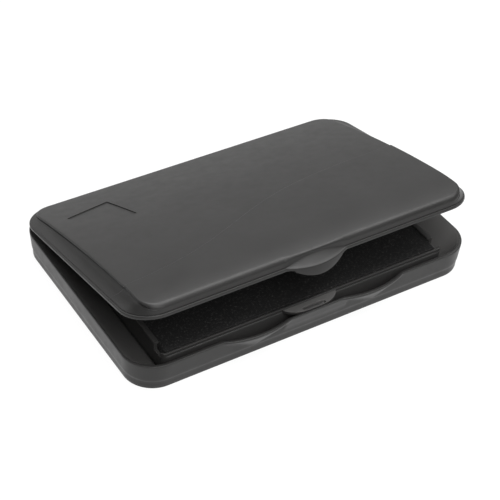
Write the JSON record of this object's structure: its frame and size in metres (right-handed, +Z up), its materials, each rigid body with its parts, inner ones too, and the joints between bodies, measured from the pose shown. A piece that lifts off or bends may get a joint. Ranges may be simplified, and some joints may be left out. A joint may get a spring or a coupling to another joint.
{
  "type": "ink pad",
  "caption": "Rectangular ink pad in a low hinged plastic case with a thumb tab, holding a lift-out tray with a cloth-covered felt pad.",
  "frame": {"origin": "middle of the underside of the lower case, on the table", "axes": "+X along the length, to the right as seen from the tab side; -Y is the tab side and +Y the hinge side; +Z up"},
  "size_m": [0.1346, 0.0931, 0.0336],
  "materials": {
    "case_plastic": "moulded charcoal plastic with a soft satin sheen",
    "tray_plastic": "moulded black plastic",
    "felt": "dense black wool felt",
    "cloth": "fine woven cover soaked with black ink"
  },
  "bodies": {
    "case": {"case_base": "case_plastic", "pad_tray": "tray_plastic", "felt_core": "felt", "ink_cloth": "cloth"},
    "lid": {"lid_shell": "case_plastic"}
  },
  "joints": [
    {"name": "lid_hinge", "type": "hinge", "parent": "case", "child": "lid", "pos_m": [0, 0.0442, 0.0097], "axis": [-1, 0, 0], "range_deg": [-12.2, 100]}
  ]
}
